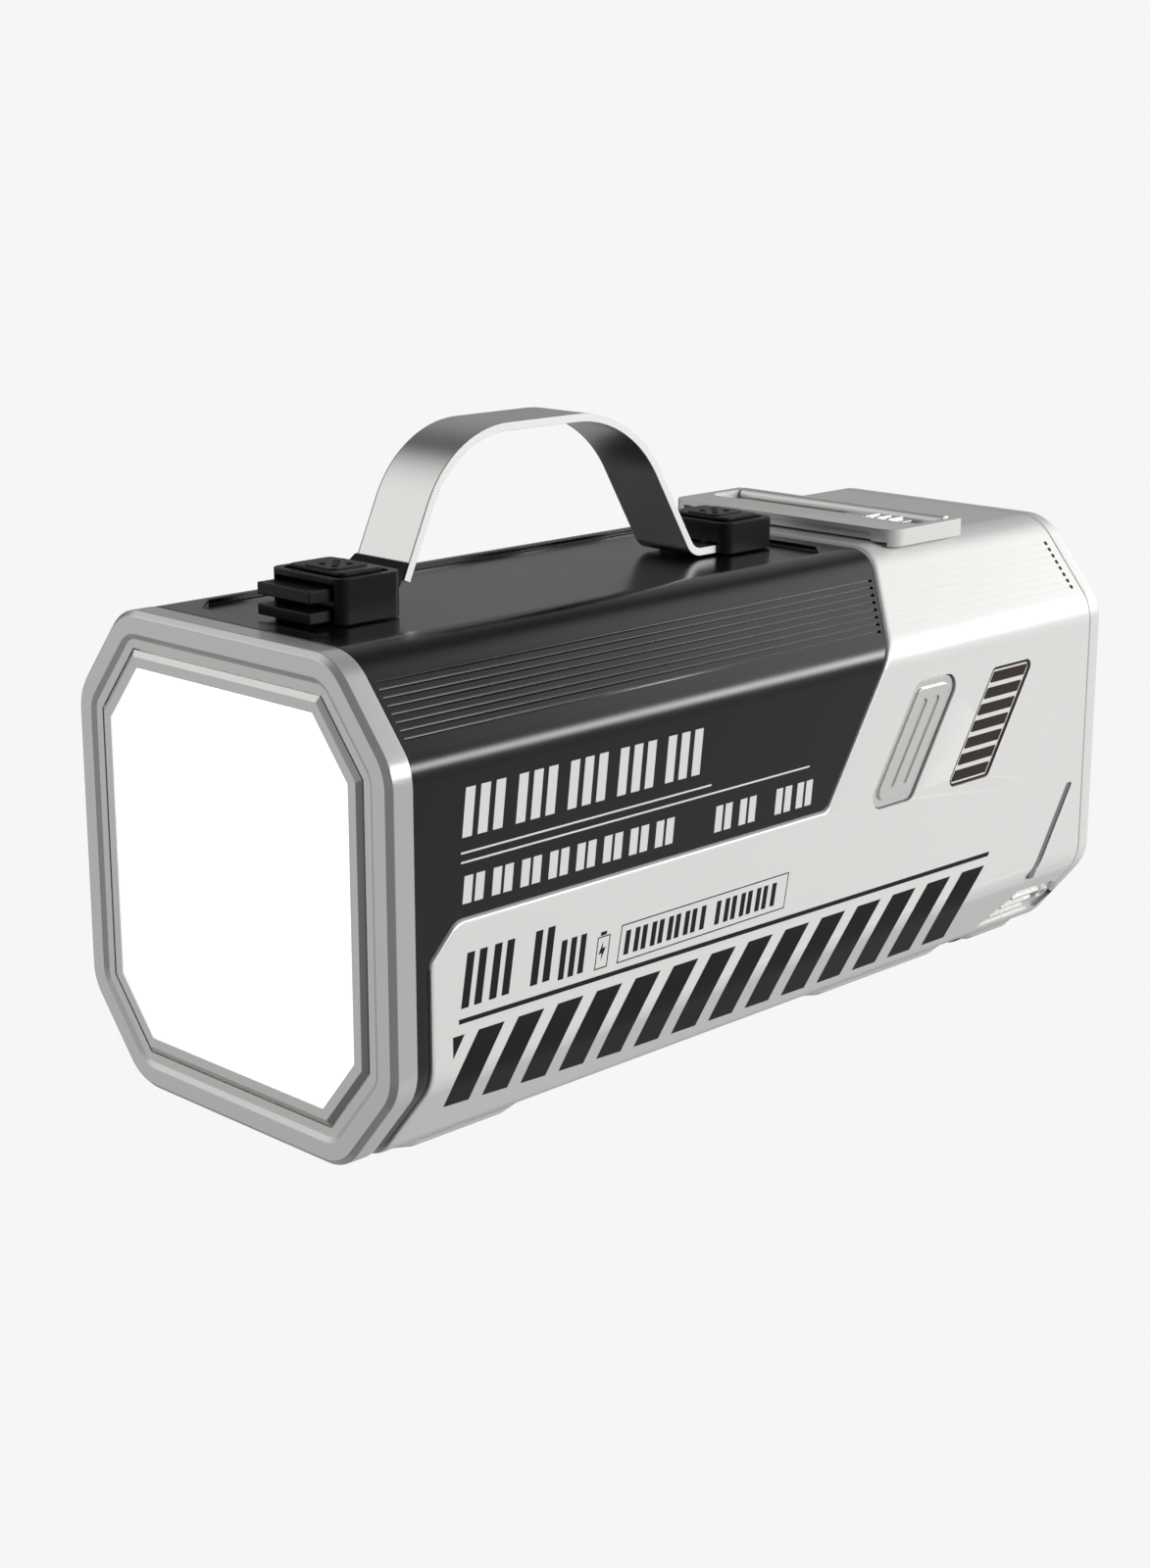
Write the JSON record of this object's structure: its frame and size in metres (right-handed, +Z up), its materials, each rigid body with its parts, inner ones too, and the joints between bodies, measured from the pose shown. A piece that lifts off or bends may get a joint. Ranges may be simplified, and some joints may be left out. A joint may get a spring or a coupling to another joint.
{
  "type": "power station",
  "caption": "Handheld power station with an octagonal body, a lamp panel on one end, an arched strap handle, a flip-up port lid, a leaning power key and a charge meter.",
  "frame": {"origin": "centre of the footprint at the soles of the feet", "axes": "+X to the side with the power key, +Y from the lamp end to the back, +Z up"},
  "size_m": [0.0864, 0.2014, 0.1217],
  "materials": {
    "silver": "satin silver coat with a fine grain",
    "bezel_silver": "satin silver, slightly darker than the shell",
    "black_coat": "satin black coat with printed grey marks",
    "black_plastic": "fine-textured black moulding",
    "strap_steel": "brushed band, black inside",
    "rod_steel": "polished rod",
    "screw_steel": "plated steel",
    "diffuser_white": "opal panel, emissive while the lamp is on",
    "meter_window": "smoked clear window, not lit",
    "foot_rubber": "matt rubber",
    "circuit_board": "solder-masked board",
    "cell_wrap": "cell in a shrink sleeve",
    "inner_metal": "nickel-plated steel",
    "inner_plastic": "white moulding"
  },
  "bodies": {
    "base": {"front_bezel": "bezel_silver", "lens_retainer": "bezel_silver", "diffuser_panel": "diffuser_white", "light_reflector": "inner_plastic", "led_board": "circuit_board", "led_heat_spreader": "inner_metal", "body_sleeve": "black_coat", "outer_shell": "silver", "rear_cover": "silver", "rear_frame": "inner_plastic", "front_post": "black_plastic", "rear_post": "black_plastic", "front_post_cap": "black_plastic", "rear_post_cap": "black_plastic", "handle_strap": "strap_steel", "strap_clip": "black_plastic", "strap_pin": "inner_metal", "hinge_rod": "rod_steel", "port_frame": "black_plastic", "port_board": "circuit_board", "front_gasket": "foot_rubber", "key_switch": "circuit_board", "charge_meter": "meter_window", "main_board": "circuit_board", "battery_cell_1": "cell_wrap", "battery_cell_2": "cell_wrap", "battery_cell_3": "cell_wrap", "battery_cell_4": "cell_wrap", "battery_cell_5": "cell_wrap", "battery_cell_6": "cell_wrap", "battery_cell_7": "cell_wrap", "battery_cell_8": "cell_wrap", "battery_cell_9": "cell_wrap", "battery_cell_10": "cell_wrap", "cell_holder_1": "inner_plastic", "cell_holder_2": "inner_plastic", "cell_holder_3": "inner_plastic", "cell_holder_4": "inner_plastic", "rear_screw_1": "screw_steel", "rear_screw_2": "screw_steel", "rear_screw_3": "screw_steel", "rear_screw_4": "screw_steel", "foot_pad_1": "foot_rubber", "foot_pad_2": "foot_rubber", "foot_pad_3": "foot_rubber", "foot_pad_4": "foot_rubber", "busbar_front": "inner_metal", "busbar_middle": "inner_metal", "busbar_rear": "inner_metal", "usb_a_socket_1": "inner_metal", "usb_a_socket_2": "inner_metal", "usb_c_socket": "inner_metal"},
    "key": {"power_key": "silver"},
    "tab_upper": {"release_tab_upper": "black_plastic"},
    "tab_lower": {"release_tab_lower": "black_plastic"},
    "lid": {"flip_lid": "silver"},
    "latch": {"lid_latch": "silver"}
  },
  "joints": [
    {"name": "key_press", "type": "slide", "parent": "base", "child": "key", "axis": [-1, 0, 0], "range_m": [0, 0.0008], "stiffness_N_per_m": 800, "springref_m": -0.001},
    {"name": "tab_upper_pinch", "type": "slide", "parent": "base", "child": "tab_upper", "axis": [0, 0, -1], "range_m": [0, 0.0007], "stiffness_N_per_m": 500, "springref_m": -0.001},
    {"name": "tab_lower_pinch", "type": "slide", "parent": "base", "child": "tab_lower", "axis": [0, 0, 1], "range_m": [0, 0.0007], "stiffness_N_per_m": 500, "springref_m": -0.001},
    {"name": "lid_hinge", "type": "hinge", "parent": "base", "child": "lid", "pos_m": [0, 0.0652, 0.0937], "axis": [-1, 0, 0], "range_deg": [0, 100]},
    {"name": "latch_slide", "type": "slide", "parent": "lid", "child": "latch", "axis": [1, 0, 0], "range_m": [0, 0.0025]}
  ]
}
